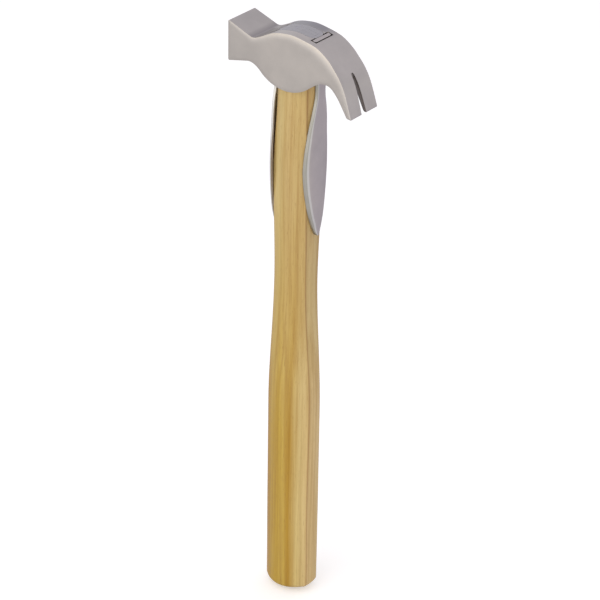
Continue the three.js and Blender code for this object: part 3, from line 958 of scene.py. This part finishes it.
# The rivets. Two steel rivets pass through both straps and the wood. Their ends are hammered into
# countersunk holes and filed down flush with the straps, so that they hardly show.
for rivet_name, drop in rivet_drops.items():
    rivet = smoothed(rivet_body(rivet_name, drop), angle=30)
    finish(rivet, rivet_name, strap_steel)

# The table and the studio: a plain white floor, a soft even room, a long lamp in front of the
# bench and above it, and a smaller one to the right, which draw the bright line along the head.
floor_body = bmesh.new()
bmesh.ops.create_grid(floor_body, x_segments=1, y_segments=1, size=6)
floor = placed("floor", floor_body)
floor_white = bpy.data.materials.new("floor_white")
floor_white.use_nodes = True
floor_tree = floor_white.node_tree
floor_tree.nodes.clear()
seen = floor_tree.nodes.new("ShaderNodeLightPath").outputs
floor_place = floor_tree.nodes.new("ShaderNodeTexCoord")
floor_spot = parts_of(floor_tree, floor_place.outputs["Object"])
# In reflections the floor behind the hammer is greyer to the left, and the floor in front of it
# glows more the farther off it lies and to the right.
behind = spread(floor_tree, floor_spot["Y"], -0.1, 0.25, 0, 1)
shaded = multiplied(floor_tree, behind, seen["Is Glossy Ray"])
to_right = spread(floor_tree, floor_spot["X"], -0.15, 0.2, 0, 1)
back_color = blended(floor_tree, to_right, (0.42, 0.40, 0.42, 1), (0.90, 0.88, 0.96, 1))
paper_color = blended(floor_tree, shaded, (0.86, 0.85, 0.84, 1), back_color)
rising = spread(floor_tree, floor_spot["Y"], -2.4, -0.6, 0.95, 0.12)
rightward = spread(floor_tree, floor_spot["X"], -0.2, 0.2, 1, 1.5)
ahead = reckoned(floor_tree, "MINIMUM", 0.9, multiplied(floor_tree, rising, rightward))
beyond = spread(floor_tree, floor_spot["Y"], 0.9, 2.0, 0, 0.12)
near_lift = blended(floor_tree, behind, ahead, beyond)
paper = joined(floor_tree, "ShaderNodeBsdfDiffuse", [("Color", paper_color)])
camera_lift = multiplied(floor_tree, seen["Is Camera Ray"], 0.38)
glossy_lift = multiplied(floor_tree, seen["Is Glossy Ray"], near_lift)
clear_lift = multiplied(floor_tree, seen["Is Transmission Ray"], 0.32)
other_lift = reckoned(floor_tree, "MAXIMUM", glossy_lift, clear_lift)
lift = joined(floor_tree, "ShaderNodeEmission", [
    ("Strength", reckoned(floor_tree, "MAXIMUM", camera_lift, other_lift)),
])
both = joined(floor_tree, "ShaderNodeAddShader", [(0, paper.outputs[0]), (1, lift.outputs[0])])
joined(floor_tree, "ShaderNodeOutputMaterial", [("Surface", both.outputs[0])])
floor.data.materials.append(floor_white)

room = bpy.data.worlds.new("room")
bpy.context.scene.world = room
room.use_nodes = True
room_tree = room.node_tree
room_tree.nodes.clear()
aim = room_tree.nodes.new("ShaderNodeTexCoord")
aim_parts = parts_of(room_tree, aim.outputs["Generated"])
room_colors = graded(room_tree, aim_parts["Z"], [
    (0.0, (0.91, 0.90, 0.94)), (0.55, (0.62, 0.62, 0.66)),
])
to_back = multiplied(
    room_tree,
    spread(room_tree, aim_parts["Y"], 0.2, 0.7, 0, 1),
    spread(room_tree, aim_parts["Z"], 0.05, 0.3, 0, 1),
)
to_front = multiplied(
    room_tree,
    spread(room_tree, aim_parts["Y"], -0.6, -0.2, 1, 0),
    spread(room_tree, aim_parts["Z"], 0.2, 0.5, 1, 0),
)
room_fronted = blended(room_tree, to_front, room_colors, (1.65, 1.57, 1.46, 1))
room_backed = blended(room_tree, to_back, room_fronted, (0.87, 0.85, 0.93, 1))
room_light = joined(room_tree, "ShaderNodeBackground", [("Color", room_backed), ("Strength", 1.0)])
white = joined(room_tree, "ShaderNodeBackground", [("Color", (1, 1, 1, 1))])
room_seen = room_tree.nodes.new("ShaderNodeLightPath")
room_mix = joined(room_tree, "ShaderNodeMixShader", [
    (0, room_seen.outputs["Is Camera Ray"]), (1, room_light.outputs[0]), (2, white.outputs[0]),
])
joined(room_tree, "ShaderNodeOutputWorld", [("Surface", room_mix.outputs[0])])


def lamp(name, toward, distance, width, height, power, color):
    """A soft lamp that looks at the head from a direction, with its width level."""
    light = bpy.data.lights.new(name, "AREA")
    light.shape = "RECTANGLE"
    light.size, light.size_y = width, height
    light.energy = power
    light.color = color
    stand = bpy.data.objects.new(name, light)
    bpy.context.scene.collection.objects.link(stand)
    aim_at = Vector((0, 0, 0.25))
    stand.location = aim_at + Vector(toward).normalized() * distance
    stand.rotation_euler = (aim_at - stand.location).to_track_quat("-Z", "Y").to_euler()


lamp_color = (1.0, 0.96, 0.89)
lamp("long_lamp", (-0.15, -0.80, 0.58), 1.3, 1.5, 0.8, 4.0, lamp_color)
lamp("side_lamp", (0.66, -0.74, 0.10), 1.3, 0.7, 0.6, 1.5, lamp_color)

# The camera, at the height of a person looking down on the bench from the claw's side. Its long
# lens keeps the hammer's lines nearly parallel.
camera_data = bpy.data.cameras.new("camera")
camera_data.lens = 150
camera_data.sensor_width = 36
camera = bpy.data.objects.new("camera", camera_data)
bpy.context.scene.collection.objects.link(camera)
right = Vector((0.8042, 0.5942, 0.0140)).normalized()
forward = Vector((-0.5186, 0.7130, -0.4719)).normalized()
upward = right.cross(forward).normalized()
right = forward.cross(upward)
turn = Matrix((right, upward, -forward)).transposed()
camera.matrix_world = Matrix.Translation((0.70483, -0.96486, 0.82334)) @ turn.to_4x4()
bpy.context.scene.camera = camera
bpy.context.scene.view_settings.view_transform = "Standard"
